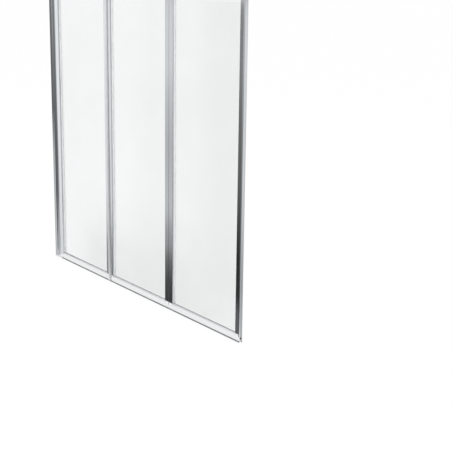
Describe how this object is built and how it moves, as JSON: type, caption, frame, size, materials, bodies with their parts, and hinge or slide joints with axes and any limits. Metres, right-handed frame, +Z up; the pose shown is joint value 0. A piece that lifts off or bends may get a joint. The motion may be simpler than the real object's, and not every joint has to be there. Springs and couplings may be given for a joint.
{
  "type": "folding bath screen",
  "caption": "Folding bath screen: framed clear glass leaves joined by hinge barrels and hung from an adjustable wall channel, with drip seals under the bottom rails.",
  "frame": {"origin": "centre of the wall channel's back face, which lies on the wall", "axes": "+X out of the wall along the screen to the free end, +Y into the bath, +Z up"},
  "size_m": [1.3, 0.029, 1.4],
  "materials": {
    "polished_aluminium": "bright polished",
    "clear_glass": "clear, smooth",
    "gasket_rubber": "matt",
    "cap_plastic": "silver moulding",
    "bush_plastic": "plain moulding",
    "stainless_steel": "bright",
    "seal_rubber": "satin"
  },
  "bodies": {
    "wall_mount": {"wall_channel": "polished_aluminium", "pivot_profile": "polished_aluminium", "adjusting_screws": "stainless_steel", "adjusting_screw_covers": "cap_plastic", "wall_end_caps": "cap_plastic", "wall_pivot_bushes": "bush_plastic"},
    "panel_1": {"panel_1_wall_stile": "polished_aluminium", "panel_1_pivot_caps": "cap_plastic", "panel_1_pivot_pins": "stainless_steel", "panel_1_barrel_stile": "polished_aluminium", "panel_1_barrel_caps": "cap_plastic", "panel_1_hinge_bushes": "bush_plastic", "panel_1_bottom_rail": "polished_aluminium", "panel_1_top_rail": "polished_aluminium", "panel_1_glass": "clear_glass", "panel_1_gasket": "gasket_rubber", "panel_1_corner_screws": "stainless_steel", "panel_1_drip_seal": "seal_rubber"},
    "panel_2": {"panel_2_left_stile": "polished_aluminium", "panel_2_pin_caps": "cap_plastic", "panel_2_hinge_pins": "stainless_steel", "panel_2_barrel_stile": "polished_aluminium", "panel_2_barrel_caps": "cap_plastic", "panel_2_hinge_bushes": "bush_plastic", "panel_2_bottom_rail": "polished_aluminium", "panel_2_top_rail": "polished_aluminium", "panel_2_glass": "clear_glass", "panel_2_gasket": "gasket_rubber", "panel_2_corner_screws": "stainless_steel", "panel_2_drip_seal": "seal_rubber"},
    "panel_3": {"panel_3_left_stile": "polished_aluminium", "panel_3_pin_caps": "cap_plastic", "panel_3_hinge_pins": "stainless_steel", "panel_3_end_stile": "polished_aluminium", "panel_3_end_caps": "cap_plastic", "panel_3_bottom_rail": "polished_aluminium", "panel_3_top_rail": "polished_aluminium", "panel_3_glass": "clear_glass", "panel_3_gasket": "gasket_rubber", "panel_3_corner_screws": "stainless_steel", "panel_3_drip_seal": "seal_rubber"}
  },
  "joints": [
    {"name": "wall_swing", "type": "hinge", "parent": "wall_mount", "child": "panel_1", "pos_m": [0.04, 0, 0], "axis": [0, 0, 1], "range_deg": [0, 90]},
    {"name": "outer_fold", "type": "hinge", "parent": "panel_1", "child": "panel_2", "pos_m": [0.46, -0.0095, 0], "axis": [0, 0, -1], "range_deg": [0, 180]},
    {"name": "inner_fold", "type": "hinge", "parent": "panel_2", "child": "panel_3", "pos_m": [0.88, 0.0095, 0], "axis": [0, 0, 1], "range_deg": [0, 180]}
  ]
}
